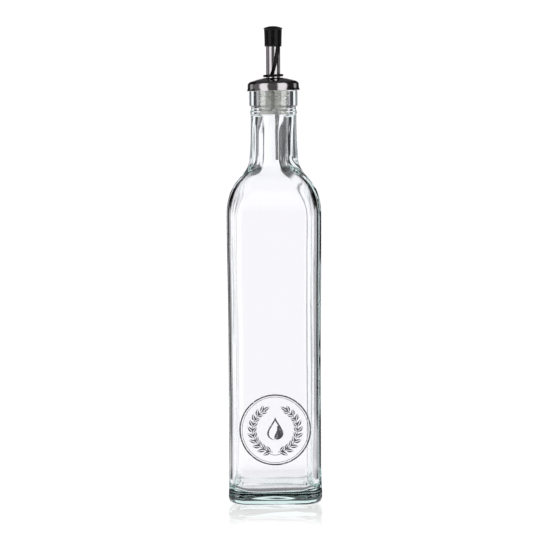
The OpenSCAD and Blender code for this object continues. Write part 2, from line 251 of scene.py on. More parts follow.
a = bend(90, 0, 7)
radius = bore_r + mouth_r * (1 - np.cos(a))
mouth = rows(radius, radius, glass_h - mouth_r * (1 - np.sin(a)))
z = np.linspace(glass_h - mouth_r, neck_z, 60)[1:-1]
throat = bore_r + (throat_r - bore_r) * smooth((plug_end_z + throat_step_up - z) / throat_step_h)
bore = rows(throat, throat, z, bore_uneven * smooth((plug_end_z - z) / bore_calm_h))
t = np.linspace(0, 1, 52)
half, z = shoulder_curve(t, throat_r, flat_half + shoulder_swell - wall, straight_z - wall / 2)
uneven = inner_shoulder_uneven + (inner_wall_uneven - inner_shoulder_uneven) * smooth(t)
shoulder_in = rows(half, half + (inner_corner_r - half) * smooth(t), z, uneven)
low_z = floor_t + inner_heel_r
z = np.linspace(straight_z - wall / 2, low_z, 80)[1:]
walls_in = rows(wall_half(z) - wall, inner_corner_r, z, inner_wall_uneven)
a = bend(6, 90, 14)
half = wall_half(low_z) - wall - inner_heel_r * (1 - np.cos(a))
z = low_z - inner_heel_r * np.sin(a)
heel_in = rows(half, inner_corner_r, z, inner_wall_uneven, 0, floor_wave * np.sin(a) ** 2)
t = np.linspace(0.94, 0.04, 12)
floor_half = wall_half(low_z) - wall - inner_heel_r
floor_in = rows(floor_half * t, floor_half * t + (inner_corner_r - floor_half * t) * t,
                floor_t + floor_crown * (1 - t * t), inner_wall_uneven * t, 0, floor_wave)

profile = np.vstack([under, foot, heel, walls, shoulder, neck, ring_low, ring_side, ring_top,
                     mouth, bore, shoulder_in, walls_in, heel_in, floor_in])
corner_from = np.arctan2(flat_half - corner_r, flat_half)
quarter = np.concatenate([
    np.linspace(0, corner_from, 14)[:-1],
    np.linspace(corner_from, np.pi / 2 - corner_from, 15),
    np.linspace(np.pi / 2 - corner_from, np.pi / 2, 14)[1:-1],
])
direction = (quarter[None, :] + np.arange(4)[:, None] * np.pi / 2).reshape(1, -1)
half, corner, height, depth_in, depth_out, wave = (column[:, None] for column in profile.T)
reach = plan_reach(direction, half, np.minimum(corner, half))
reach = reach + depth_in * ripple(direction, height, 11, (2, 3, 4, 5, 7, 9), 0.7, 0.05)
reach = reach + depth_in * 0.12 * ripple(direction, height, 12, (9, 13, 17), 1.6, 0.02)
reach = reach + depth_out * outer_ripple(direction, height)
# The glass is thicker on the right at the neck's foot, and drawn into folds at the neck's two sides.
slump_z, slump_h, slump_turn = neck_z + 8 * MM, 14 * MM, 0.15
slump = np.exp(-(((height - slump_z) / slump_h) ** 2)) * np.clip(np.cos(direction - slump_turn), 0, 1) ** 2
reach = reach - depth_in * 0.9 * slump
fold_low, fold_rise, fold_fade = straight_z + 8 * MM, 16 * MM, 6 * MM
folds = smooth((height - fold_low) / fold_rise) * smooth((plug_end_z - height) / fold_fade)
folds = folds * np.abs(np.cos(direction)) ** 4
reach = reach + depth_in * 1.9 * folds * ripple(direction, height, 21, (8, 12, 17), 0.9, 0.018)
# The whole inside stands a little to the left, and the floor is wavy.
lean = depth_in * (2.4 - 0.6 * smooth((height - straight_z) / (neck_z - straight_z)))
x, y = reach * np.cos(direction) - lean, reach * np.sin(direction)
swirl = np.sin(x / (7 * MM) + 1.4 * np.sin(y / (8 * MM)))
swirl = swirl + 0.4 * np.sin(y / (3.6 * MM) + np.sin(x / (10 * MM)) + 1)
glass_points = np.stack([x, y, height + wave * swirl], -1)
bottle = closed_mesh("bottle_glass", glass_points)


def new_material(name):
    """A material with its Principled shader, and the tree to add nodes to."""
    material = bpy.data.materials.new(name)
    material.use_nodes = True
    tree = material.node_tree
    return material, tree, tree.nodes["Principled BSDF"]


def noise(tree, scale, detail=3.0, stretch=(1, 1, 1), distortion=0.0, at=None):
    """Noise on the piece's own Object coordinates, in waves per metre, stretched along its axes."""
    place = tree.nodes.new("ShaderNodeMapping")
    place.inputs["Scale"].default_value = stretch
    if at is None:
        at = tree.nodes.new("ShaderNodeTexCoord").outputs["Object"]
    tree.links.new(at, place.inputs["Vector"])
    texture = tree.nodes.new("ShaderNodeTexNoise")
    texture.inputs["Scale"].default_value = scale
    texture.inputs["Detail"].default_value = detail
    texture.inputs["Distortion"].default_value = distortion
    tree.links.new(place.outputs["Vector"], texture.inputs["Vector"])
    return texture.outputs["Fac"]


def bump(tree, shader, height, distance, strength=1.0):
    """Raises the surface by a height signal, over a distance in metres."""
    node = tree.nodes.new("ShaderNodeBump")
    node.inputs["Strength"].default_value = strength
    node.inputs["Distance"].default_value = distance
    tree.links.new(height, node.inputs["Height"])
    tree.links.new(node.outputs["Normal"], shader.inputs["Normal"])


def spread(tree, signal, low, high, from_low=0.35, from_high=0.65):
    """Spreads a noise signal between two values."""
    node = tree.nodes.new("ShaderNodeMapRange")
    node.inputs["From Min"].default_value = from_low
    node.inputs["From Max"].default_value = from_high
    node.inputs["To Min"].default_value = low
    node.inputs["To Max"].default_value = high
    tree.links.new(signal, node.inputs["Value"])
    return node.outputs["Result"]


def two_tone(tree, signal, first, second, from_low=0.35, from_high=0.65):
    """Colour that runs from one tone to another with a signal."""
    ramp = tree.nodes.new("ShaderNodeValToRGB")
    ramp.color_ramp.elements[0].position = from_low
    ramp.color_ramp.elements[0].color = (*first, 1)
    ramp.color_ramp.elements[1].position = from_high
    ramp.color_ramp.elements[1].color = (*second, 1)
    tree.links.new(signal, ramp.inputs["Fac"])
    return ramp.outputs["Color"]


glass, tree, shader = new_material("clear_soda_glass")
shader.inputs["Base Color"].default_value = (1, 1, 1, 1)
shader.inputs["Transmission Weight"].default_value = 1
shader.inputs["Roughness"].default_value = 0
shader.inputs["IOR"].default_value = 1.5
bump(tree, shader, noise(tree, 70, 2, (1, 1, 0.35), 0.4), 0.00008)
absorb = tree.nodes.new("ShaderNodeVolumeAbsorption")
absorb.inputs["Color"].default_value = (0, 0.62, 0.52, 1)
absorb.inputs["Density"].default_value = 6.5
tree.links.new(absorb.outputs["Volume"], tree.nodes["Material Output"].inputs["Volume"])
bottle.data.materials.append(glass)
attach(bottle, "bottle")
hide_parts("bottle")

# ---- Printed mark -------------------------------------------------------------------------------
# A round mark screen printed and fired on the front: an olive wreath round a drop of oil, in one
# dark grey ink whose edges have worn. It lies on the glass and follows it.
mark_z = 48.5 * MM
mark_r = 22.5 * MM
ink_t = 0.05 * MM
ink_gap = 0.04 * MM
ring_w = 0.9 * MM
thin_ring_in, thin_ring_out = 1.9 * MM, 1.6 * MM
branch_r = 14.2 * MM
stem_half = 0.2 * MM
leaf_l, leaf_w = 5.6 * MM, 2.3 * MM
tip_leaf_l, tip_leaf_w = 5 * MM, 2.1 * MM
drop_h, drop_w, drop_line = 15 * MM, 5 * MM, 1.1 * MM
drop_foot_z = -6.6 * MM
arc_z, arc_in_r, arc_out_r = -8.6 * MM, 7.2 * MM, 7.6 * MM
ink_dark, ink_worn = (0.045, 0.045, 0.052), (0.10, 0.10, 0.112)
strips = []


def strip(inner, outer):
    """A flat strip between two lines of points, as (x, z) pairs measured from the mark's centre."""
    strips.append((np.asarray(inner, float), np.asarray(outer, float)))


def circle(radius, start=0, end=360, count=97):
    """A circle or an arc of it as (x, z) points, between limits in degrees."""
    a = bend(start, end, count)
    return np.stack([radius * np.cos(a), radius * np.sin(a)], 1)


def leaf(at, pointing, length, width):
    """An almond split by its vein: each half runs between the vein and an edge that swells as the
    sine of the way along it."""
    along = np.linspace(0, 1, 13)
    edge = width / 2 * np.sin(np.pi * along**0.85)
    vein = np.minimum(0.11 * width, 0.5 * edge)
    ahead = np.array([np.cos(pointing), np.sin(pointing)])
    aside = np.array([-ahead[1], ahead[0]])
    middle = np.asarray(at) + np.outer(length * along, ahead)
    strip(middle + np.outer(vein, aside), middle + np.outer(edge, aside))
    strip(middle - np.outer(edge, aside), middle - np.outer(vein, aside))


strip(circle(mark_r - ring_w), circle(mark_r))
strip(circle(mark_r - thin_ring_in), circle(mark_r - thin_ring_out))
for side in (-1, 1):
    turn = np.radians(np.linspace(-84, 58, 40))
    ring = np.stack([side * np.cos(turn), np.sin(turn)], 1)
    strip(ring * (branch_r - stem_half), ring * (branch_r + stem_half))
    for k, a in enumerate(np.radians(np.linspace(-78, 52, 10))):
        at = branch_r * np.array([side * np.cos(a), np.sin(a)])
        for lean, size in ((0.62, 1.0), (-0.72, 0.86)):
            pointing = a + np.pi / 2 - lean
            pointing = pointing if side > 0 else np.pi - pointing
            leaf(at, pointing, leaf_l * size * (1 - 0.02 * k), leaf_w * size)
    tip = branch_r * np.array([side * np.cos(turn[-1]), np.sin(turn[-1])])
    leaf(tip, np.pi / 2 + turn[-1] if side > 0 else np.pi / 2 - turn[-1], tip_leaf_l, tip_leaf_w)
along = np.linspace(0, 1, 41)
drop_half = drop_w * np.sin(np.pi * along**0.62) * (1 - along) ** 0.35 * 1.15
drop_z = drop_foot_z + drop_h * along
inner_half = np.maximum(drop_half - drop_line, 0)
strip(np.stack([-drop_half, drop_z], 1), np.stack([-inner_half, drop_z], 1))
strip(np.stack([inner_half, drop_z], 1), np.stack([drop_half, drop_z], 1))
fill = (along > 0.04) & (along < 0.62)
level = np.clip((along[fill] - 0.04) / 0.58, 0, 1)
left = -inner_half[fill] * 0.25 + inner_half[fill] * 0.75 * smooth(level)
strip(np.stack([left, drop_z[fill]], 1), np.stack([inner_half[fill], drop_z[fill]], 1))
strip(circle(arc_in_r, 200, 340, 30) + [0, arc_z], circle(arc_out_r, 200, 340, 30) + [0, arc_z])

ink_vertices, ink_faces, start = [], [], 0
for inner, outer in strips:
    count, across = len(inner), 3
    share = np.linspace(0, 1, across)[None, :, None]
    points = inner[:, None] * (1 - share) + outer[:, None] * share
    index = start + np.arange(count * across).reshape(count, across)
    quads = np.stack([index[:-1, :-1], index[1:, :-1], index[1:, 1:], index[:-1, 1:]], -1).reshape(-1, 4)
    flat = points.reshape(-1, 2)
    turn_sign = np.sum((outer - inner)[:-1, 0] * np.diff(inner, axis=0)[:, 1]
                       - (outer - inner)[:-1, 1] * np.diff(inner, axis=0)[:, 0])
    ink_faces.append(quads if turn_sign < 0 else quads[:, ::-1])
    ink_vertices.append(flat)
    start += count * across
flat = np.vstack(ink_vertices)
face_z = flat[:, 1] + mark_z
towards = np.arctan2(-wall_half(face_z), flat[:, 0]) % (2 * np.pi)
skin = wall_uneven * smooth(face_z / wall_calm_h) * outer_ripple(towards, face_z)
face_y = -(wall_half(face_z) + skin) - ink_gap
ink_mesh = bpy.data.meshes.new("front_mark")
ink_points = np.stack([flat[:, 0], face_y, face_z], 1)
ink_mesh.from_pydata(ink_points.tolist(), [], np.vstack(ink_faces).tolist())
ink_mesh.update()
mark = bpy.data.objects.new("front_mark", ink_mesh)
bpy.context.scene.collection.objects.link(mark)
body = mark.modifiers.new("ink_thickness", "SOLIDIFY")
body.thickness = ink_t
body.offset = 1

ink, tree, shader = new_material("fired_grey_ink")
tone = two_tone(tree, noise(tree, 900, 4), ink_dark, ink_worn)
tree.links.new(tone, shader.inputs["Base Color"])
cover = spread(tree, noise(tree, 1400, 5, distortion=0.6), 0, 1, 0.36, 0.41)
tree.links.new(cover, shader.inputs["Alpha"])
shader.inputs["Roughness"].default_value = 0.55
bump(tree, shader, noise(tree, 2500, 4), 0.00003)
mark.data.materials.append(ink)
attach(mark, "bottle")

# ---- Plug ---------------------------------------------------------------------------------------
# Translucent soft plastic, moulded in one: ribs that grip the bore, a flange on the mouth and a hub
# that fills the steel dome's middle. The spout is pressed into it from above, the air tube from below.
plug_low, plug_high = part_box("stopper")
rib_r = bore_r - 0.05 * MM
core_r = rib_r - 1.1 * MM
flange_t = 1.6 * MM
flange_r = plug_high.x
spout_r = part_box("spout_tube")[1].x
hub_r = spout_r + 2 * MM
rib_count = 4
rib_top_plain = 1.8 * MM
rib_edge, rib_flat_end, rib_foot = 0.35 * MM, 1.2 * MM, 1.4 * MM
nose_h, nose_in = 0.8 * MM, 0.8 * MM
first_rib = 0.4 * MM
web_t = 2.6 * MM
centre_r = 0.2 * MM
skin_gap = 0.02 * MM
plug_green, plug_pale = (0.93, 0.96, 0.87), (0.98, 0.99, 0.93)
round_steps = 72


def lathe(name, line, wrap_rows=False, steps=round_steps):
    """Turns a half section, as (radius, height) points, once round the axis."""
    line = np.asarray(line, float)
    a = np.linspace(0, 2 * np.pi, steps, endpoint=False)[None, :]
    radius, z = line[:, :1], line[:, 1:]
    return closed_mesh(name, np.stack([radius * np.cos(a), radius * np.sin(a), z + 0 * a], -1), wrap_rows)


def rounded(line, size, steps=4):
    """Rounds each corner of a line of points with a short curve that starts a given size from it."""
    line = np.asarray(line, float)
    out = [line[:1]]
    for before, at, after in zip(line[:-2], line[1:-1], line[2:]):
        lead, tail = before - at, after - at
        near, far = np.linalg.norm(lead), np.linalg.norm(tail)
        cut = min(size, 0.45 * near, 0.45 * far)
        p, q = at + lead / near * cut, at + tail / far * cut
        share = np.linspace(0, 1, steps + 1)[:, None]
        out.append((1 - share) ** 2 * p + 2 * share * (1 - share) * at + share**2 * q)
    out.append(line[-1:])
    return np.vstack(out)


pitch = (glass_h - plug_low.z - rib_top_plain) / rib_count
nose_z = plug_low.z + nose_h
plug_line = [(centre_r, plug_low.z), (core_r - nose_in, plug_low.z), (core_r, nose_z)]
for k in range(rib_count):
    low = nose_z + first_rib + pitch * k
    plug_line += [(core_r, low), (rib_r, low + rib_edge)]
    plug_line += [(rib_r, low + rib_flat_end), (core_r, low + rib_foot)]
plug_line += [
    (core_r, glass_h), (flange_r, glass_h), (flange_r, glass_h + flange_t), (hub_r, glass_h + flange_t),
    (hub_r, plug_high.z), (spout_r + skin_gap, plug_high.z), (spout_r + skin_gap, plug_low.z + web_t),
    (centre_r, plug_low.z + web_t),
]
plug = lathe("plug", rounded(plug_line, 0.3 * MM))
soft, tree, shader = new_material("translucent_plug")
tree.links.new(two_tone(tree, noise(tree, 240, 3), plug_green, plug_pale), shader.inputs["Base Color"])
shader.inputs["Transmission Weight"].default_value = 0.8
shader.inputs["IOR"].default_value = 1.12
shader.inputs["Subsurface Weight"].default_value = 1
shader.inputs["Subsurface Radius"].default_value = (1, 1, 1)
shader.inputs["Subsurface Scale"].default_value = 0.006
tree.links.new(spread(tree, noise(tree, 900, 4), 0.30, 0.45), shader.inputs["Roughness"])
bump(tree, shader, noise(tree, 700, 3), 0.00004)
plug.data.materials.append(soft)
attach(plug, "pourer")
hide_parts("stopper")

# ---- Steel dome -----------------------------------------------------------------------------------
# Pressed from thin stainless sheet and spun smooth: a flat round the spout, a shallow crown, a
# tight bend, a short skirt and a rim that flares out over the mouth ring.
dome_low, dome_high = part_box("dome_cap")
steel_t = 0.5 * MM
rim_flare = 0.6 * MM
rim_h = 2.1 * MM
crown_r = 42 * MM
dome_bend_r = 2.6 * MM
skirt_r = dome_high.x - rim_flare
dome_flat_r = spout_r + 2.6 * MM
dome_tilt = 1.3
spun_dark, spun_bright = (0.56, 0.55, 0.55), (0.66, 0.65, 0.645)


def dome_face(depth):
    """One face of the sheet, from the spout outwards: flat, crown arc, bend arc, skirt and rim."""
    centre_z = dome_high.z - np.sqrt(crown_r**2 - dome_flat_r**2)
    bend_x = skirt_r - dome_bend_r
    bend_z = centre_z + np.sqrt((crown_r - dome_bend_r) ** 2 - bend_x**2)
    crown_end = np.degrees(np.arcsin(bend_x / (crown_r - dome_bend_r)))
    a = bend(np.degrees(np.arcsin(dome_flat_r / crown_r)), crown_end, 16)
    crown = np.stack([(crown_r - depth) * np.sin(a), centre_z + (crown_r - depth) * np.cos(a)], 1)
    a = bend(crown_end, 90, 12)[1:]
    bend_r = dome_bend_r - depth
    turned = np.stack([bend_x + bend_r * np.sin(a), bend_z + bend_r * np.cos(a)], 1)
    flat = [(spout_r + skin_gap, dome_high.z - depth), (dome_flat_r - 0.5 * MM, dome_high.z - depth)]
    t = np.linspace(0, 1, 9)
    rim = np.stack([skirt_r - depth + rim_flare * t**1.3, dome_low.z + rim_h * (1 - t)], 1)
    return np.vstack([flat, crown, turned, rim])


dome_line = np.vstack([dome_face(0)[::-1], dome_face(steel_t)])
dome = lathe("dome", dome_line, wrap_rows=True, steps=128)


def tilt(piece, degrees, centre_z):
    """Leans a piece to the left about a point on the bottle's axis."""
    points = np.array([v.co[:] for v in piece.data.vertices])
    x, z, turn = points[:, 0], points[:, 2] - centre_z, np.radians(degrees)
    across, up = x * np.cos(turn) - z * np.sin(turn), z * np.cos(turn) + x * np.sin(turn)
    piece.data.vertices.foreach_set("co", np.stack([across, points[:, 1], centre_z + up], 1).ravel())


tilt(dome, dome_tilt, glass_h + flange_t)


def steel(name, low, high, roughness, brush):
    """Bright steel: tone and gloss drift slowly, and fine lines run round the axis where it was
    spun or drawn, as noise squeezed along the height."""
    material, tree, shader = new_material(name)
    shader.inputs["Metallic"].default_value = 1
    tree.links.new(two_tone(tree, noise(tree, 90, 3), low, high), shader.inputs["Base Color"])
    lines = noise(tree, 400, 5, brush)
    tree.links.new(spread(tree, lines, roughness[0], roughness[1]), shader.inputs["Roughness"])
    bump(tree, shader, lines, 0.000008)
    return material


dome.data.materials.append(steel("spun_steel", spun_dark, spun_bright, (0.08, 0.15), (1, 1, 14)))
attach(dome, "pourer")
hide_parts("dome_cap")

# ---- Spout ----------------------------------------------------------------------------------------
# Drawn stainless tube, cut at a slight slant and deburred. Its foot is pressed into the plug.
spout_low, spout_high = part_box("spout_tube")
spout_bore_r = spout_r - steel_t
tip_cut = np.radians(15)
edge = 0.15 * MM
drawn_dark, drawn_bright = (0.58, 0.57, 0.57), (0.67, 0.66, 0.655)
a = np.linspace(0, 2 * np.pi, round_steps, endpoint=False)


def spout_row(radius, top_share, drop=0.0):
    """A ring of the tube. Its height runs from the foot (0) to the slanted tip (1)."""
    tip = spout_high.z - (spout_r - radius * np.cos(a)) * np.tan(tip_cut) - drop
    z = spout_low.z + (tip - spout_low.z) * top_share
    return np.stack([radius * np.cos(a), radius * np.sin(a), z], -1)


outside = [spout_row(spout_r, s, edge) for s in np.linspace(0, 1, 12)]
over = [spout_row(spout_r - edge * 0.35, 1, edge * 0.3), spout_row(spout_r - edge, 1)]
over.append(spout_row(spout_bore_r + edge, 1))
inside = [spout_row(spout_bore_r, s, edge) for s in np.linspace(1, 0, 12)]
spout = closed_mesh("spout", np.stack(outside + over + inside), wrap_rows=True)
spout.data.materials.append(steel("drawn_steel", drawn_dark, drawn_bright, (0.10, 0.2), (10, 10, 0.6)))
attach(spout, "pourer")
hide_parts("spout_tube")

# ---- Air tube -------------------------------------------------------------------------------------
# A thin translucent tube that lets air in as oil runs out. It hangs below the plug, to one side, and
# runs up inside the spout. Its end is cut square.
air_low, air_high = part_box("vent_tube")
air_x = (air_low.x + air_high.x) / 2
air_r = (air_high.x - air_low.x) / 2
air_bore_r = 0.9 * MM
air_edge = 0.1 * MM
air_wobble = 0.03 * MM
air_grey, air_white = (0.25, 0.25, 0.24), (0.97, 0.97, 0.96)
z = np.linspace(air_low.z, air_high.z, 60)
wobble = air_wobble * np.sin(z / (0.9 * MM))
air_line = np.vstack([
    [(air_bore_r + air_edge, air_low.z), (air_r - air_edge, air_low.z)],
    np.stack([air_r - air_wobble + wobble, z], 1)[1:-1],
    [(air_r - air_edge, air_high.z), (air_bore_r + air_edge, air_high.z)],
    np.stack([np.full(20, air_bore_r), np.linspace(air_high.z, air_low.z, 20)], 1)[1:-1],
])
a = np.linspace(0, 2 * np.pi, 32, endpoint=False)[None, :]
air_radius, air_z = air_line[:, :1], air_line[:, 1:]
air_points = np.stack([air_x + air_radius * np.cos(a), air_radius * np.sin(a), air_z + 0 * a], -1)
air_tube = closed_mesh("air_tube", air_points, wrap_rows=True)
clear, tree, shader = new_material("cloudy_tube")
tone = two_tone(tree, noise(tree, 1100, 4, (1, 1, 0.6)), air_grey, air_white)
tree.links.new(tone, shader.inputs["Base Color"])
shader.inputs["Transmission Weight"].default_value = 0.4
shader.inputs["IOR"].default_value = 1.3
tree.links.new(spread(tree, noise(tree, 1500, 4), 0.12, 0.4), shader.inputs["Roughness"])
bump(tree, shader, noise(tree, 1300, 3), 0.00015)
air_tube.data.materials.append(clear)
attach(air_tube, "pourer")
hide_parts("vent_tube")

# ---- Tether ring ----------------------------------------------------------------------------------
# Soft black moulding, shared with the strap and the cap: a loose ring round the foot of the spout,
# a little askew, free to turn.
ring_low, ring_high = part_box("strap_ring")
ring_mid_z = (ring_low.z + ring_high.z) / 2
ring_out_r = spout_r + 1.95 * MM
ring_in_r = spout_r + 0.3 * MM
ring_half_t = 0.8 * MM
ring_tilt = 2.5
rubber_black = (0.004, 0.004, 0.0045)
a = np.linspace(0, 2 * np.pi, 24, endpoint=False)[:, None]


def signed_power(value, power):
    """The value's size raised to a power, with its sign kept. Below 1 it squares off a circle."""
    return np.sign(value) * np.abs(value) ** power


across = (ring_out_r - ring_in_r) / 2 * signed_power(np.cos(a), 0.7)
section = np.hstack([(ring_out_r + ring_in_r) / 2 + across, ring_half_t * signed_power(np.sin(a), 0.7)])
tether_ring = lathe("tether_ring", section + [0, ring_mid_z], wrap_rows=True)
tilt(tether_ring, ring_tilt, ring_mid_z)


def rubber(name, dust):
    """Black rubber: faint bloom, satin gloss that varies with handling, and a fine moulded grain."""
    material, tree, shader = new_material(name)
    tree.links.new(two_tone(tree, noise(tree, 350, 4), rubber_black, dust), shader.inputs["Base Color"])
    tree.links.new(spread(tree, noise(tree, 500, 4), 0.13, 0.2), shader.inputs["Roughness"])
    shader.inputs["Specular IOR Level"].default_value = 0.2
    bump(tree, shader, noise(tree, 2600, 3), 0.00003)
    return material


tether_black = rubber("tether_black", (0.008, 0.0078, 0.008))
tether_ring.data.materials.append(tether_black)
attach(tether_ring, "tether")
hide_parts("strap_ring")

# ---- Tip cap --------------------------------------------------------------------------------------
# Soft black cap pushed over the spout's tip. It widens a little upwards, ends in a thin flange with
# a low crown, and has a small lug under its edge where the strap joins it.
cap_low, cap_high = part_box("tip_cap")
cap_z = cap_low.z + 0.5 * MM
cap_bore_r = spout_r + 0.05 * MM
cap_foot_r = cap_bore_r + 0.85 * MM
cap_head_r = cap_foot_r + 0.25 * MM
cap_flange_r = cap_head_r + 0.35 * MM
cap_crown = 1.3 * MM
cap_flange_t = 0.6 * MM
cap_flange_z = cap_high.z - cap_crown - cap_flange_t
cap_roof_z = spout_high.z + 0.3 * MM
cap_centre_r = 0.05 * MM
roof_round = 0.4 * MM
cap_lead = 0.2 * MM
cap_foot_edge = 0.25 * MM
cap_waist = 0.06 * MM
cap_wall_low, cap_wall_top = 0.3 * MM, 0.6 * MM
flange_round = 0.1 * MM
crown_ball_r = (cap_flange_r**2 + cap_crown**2) / (2 * cap_crown)
a = np.linspace(np.arcsin(cap_flange_r / crown_ball_r) * 0.97, 0.01, 14)
crown_line = np.stack([crown_ball_r * np.sin(a), cap_high.z - crown_ball_r * (1 - np.cos(a))], 1)
wall_t = np.linspace(0, 1, 12)
wall_line = np.stack([
    cap_foot_r + (cap_head_r - cap_foot_r) * wall_t - cap_waist * np.sin(np.pi * wall_t),
    cap_z + cap_wall_low + (cap_flange_z - cap_wall_top - cap_z - cap_wall_low) * wall_t,
], 1)
cap_line = np.vstack([
    [(cap_centre_r, cap_roof_z), (cap_bore_r - roof_round, cap_roof_z)],
    [(cap_bore_r, cap_roof_z - roof_round)],
    [(cap_bore_r, cap_z + cap_lead), (cap_bore_r + cap_lead, cap_z), (cap_foot_r - cap_foot_edge, cap_z)],
    wall_line,
    [(cap_head_r + 0.05 * MM, cap_flange_z - 0.25 * MM)],
    [(cap_flange_r - flange_round, cap_flange_z + 0.02 * MM)],
    [(cap_flange_r, cap_flange_z + 0.15 * MM), (cap_flange_r, cap_flange_z + cap_flange_t - flange_round)],
    crown_line,
])
tip_cap = lathe("spout_cap", cap_line)
tip_cap.data.materials.append(rubber("cap_black", (0.009, 0.0086, 0.009)))
strap_top = np.radians(-52)
lug_w, lug_h = 2.6 * MM, 1.7 * MM
lug_in = spout_r + 0.3 * MM
lug_out = cap_foot_r + 0.5 * MM
u = np.linspace(0, 2 * np.pi, 32, endpoint=False)[None, :]
v = np.linspace(-np.pi / 2, np.pi / 2, 15)[1:-1, None]

lug_mid = (lug_in + lug_out) / 2
lug_square = 0.35
wide = signed_power(np.cos(v), lug_square) * signed_power(np.sin(u), lug_square) * lug_w / 2
deep = signed_power(np.cos(v), lug_square) * signed_power(np.cos(u), lug_square) * (lug_out - lug_in) / 2
deep = lug_mid + deep
tall = cap_low.z + lug_h / 2 + signed_power(np.sin(v), lug_square) * lug_h / 2 + 0 * u
lug = closed_mesh("cap_lug", np.stack([
    deep * np.cos(strap_top) - wide * np.sin(strap_top),
    deep * np.sin(strap_top) + wide * np.cos(strap_top),
    tall,
], -1))
lug.data.materials.append(tip_cap.data.materials[0])
for piece in (tip_cap, lug):
    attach(piece, "cap")
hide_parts("tip_cap")

# ---- Strap ----------------------------------------------------------------------------------------
# The flat strap that ties the cap to the ring. It springs out of the ring in a small loop, then
# climbs round the tube to the cap's lug.
strap_w, strap_t = 2.3 * MM, 1.0 * MM
strap_front = np.radians(-97)
loop_r = 3 * MM
strap_gap = 0.1 * MM
strap_root = 0.4 * MM
strap_r = lug_in + strap_t / 2 + strap_gap
t = np.linspace(0, 1, 90)
rise = (cap_low.z - ring_mid_z) * smooth((t - 0.12) / 0.88)
out_r = ring_out_r - strap_root + (strap_r - ring_out_r + strap_root) * smooth((t - 0.1) / 0.35)
out_r = out_r + loop_r * np.sin(np.pi * np.minimum(1, t / 0.36))
around = strap_front + (strap_top - strap_front) * smooth((t - 0.15) / 0.8)
middle = np.stack([out_r * np.cos(around), out_r * np.sin(around), ring_mid_z + rise], 1)
ahead = np.gradient(middle, axis=0)
ahead /= np.linalg.norm(ahead, axis=1, keepdims=True)
aside = np.stack([-np.sin(around), np.cos(around), 0 * around], 1)
aside -= ahead * np.sum(aside * ahead, 1, keepdims=True)
aside /= np.linalg.norm(aside, axis=1, keepdims=True)
off = np.cross(aside, ahead)
a = np.linspace(0, 2 * np.pi, 28, endpoint=False)
wide = signed_power(np.cos(a), 0.45) * strap_w / 2
thick = signed_power(np.sin(a), 0.6) * strap_t / 2
strap_points = middle[:, None] + aside[:, None] * wide[None, :, None]
strap_points = strap_points + off[:, None] * thick[None, :, None]
strap = closed_mesh("cap_tether", strap_points)
strap.data.materials.append(tether_black)
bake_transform(strap)
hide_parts("cap_strap")

# ---- Floor ----------------------------------------------------------------------------------------
# A round pale table top, evenly lit. It is a little glossy close to the bottle's foot, where it
# mirrors the glass. Only the camera sees it: other rays pass through to the surroundings' own floor.
floor_r = 1.6
floor_drop = 0.2 * MM
floor_steps = 96
gloss_near, gloss_far = 30 * MM, 130 * MM
gloss_most = 0.40
white_level = 1.06
a = np.linspace(0, 2 * np.pi, floor_steps, endpoint=False)
floor_points = np.stack([floor_r * np.cos(a), floor_r * np.sin(a), 0 * a - floor_drop], 1)
floor_mesh = bpy.data.meshes.new("table")
floor_mesh.from_pydata(floor_points.tolist(), [], [list(range(floor_steps))])
table = bpy.data.objects.new("table", floor_mesh)
bpy.context.scene.collection.objects.link(table)
material = bpy.data.materials.new("table_white")
material.use_nodes = True
tree = material.node_tree
tree.nodes.clear()
link = tree.links.new
place = tree.nodes.new("ShaderNodeTexCoord")
away = tree.nodes.new("ShaderNodeVectorMath")
away.operation = "LENGTH"
link(place.outputs["Object"], away.inputs[0])
near = tree.nodes.new("ShaderNodeMapRange")
near.interpolation_type = "SMOOTHSTEP"
near.inputs["From Min"].default_value = gloss_near
near.inputs["From Max"].default_value = gloss_far
near.inputs["To Min"].default_value = 1.0
near.inputs["To Max"].default_value = 0.0
link(away.outputs["Value"], near.inputs["Value"])
slant = tree.nodes.new("ShaderNodeFresnel")
slant.inputs["IOR"].default_value = 1.5
most = tree.nodes.new("ShaderNodeMath")
most.operation = "MINIMUM"
most.inputs[1].default_value = gloss_most
link(slant.outputs["Fac"], most.inputs[0])
mirror = tree.nodes.new("ShaderNodeMath")
mirror.operation = "MULTIPLY"
link(most.outputs["Value"], mirror.inputs[0])
link(near.outputs["Result"], mirror.inputs[1])
glow = tree.nodes.new("ShaderNodeEmission")
glow.inputs["Color"].default_value = (1, 1, 1, 1)
glow.inputs["Strength"].default_value = white_level
gloss = tree.nodes.new("ShaderNodeBsdfGlossy")
gloss.inputs["Roughness"].default_value = 0.03
gloss.inputs["Color"].default_value = (1, 1, 1, 1)
blend = tree.nodes.new("ShaderNodeMixShader")
link(mirror.outputs["Value"], blend.inputs["Fac"])
link(glow.outputs["Emission"], blend.inputs[1])
link(gloss.outputs["BSDF"], blend.inputs[2])
path = tree.nodes.new("ShaderNodeLightPath")
clear_view = tree.nodes.new("ShaderNodeBsdfTransparent")
either = tree.nodes.new("ShaderNodeMixShader")
link(path.outputs["Is Camera Ray"], either.inputs["Fac"])
link(clear_view.outputs["BSDF"], either.inputs[1])
link(blend.outputs["Shader"], either.inputs[2])
output = tree.nodes.new("ShaderNodeOutputMaterial")
link(either.outputs["Shader"], output.inputs["Surface"])
table.data.materials.append(material)

# ---- Light ----------------------------------------------------------------------------------------
# A white sweep behind the bottle and tall soft boxes in front of it, with dark gaps between that draw
# the edges of the glass. It isn't one real room: rays from the camera, rays that have passed through
# glass, and all the others, mirrored in steel and plastic, each have their own surroundings.
BRIGHT, SWEEP, CARD, DIM, SHADE, DARK = 1.3, 1.12, 0.5, 0.18, 0.10, 0.02
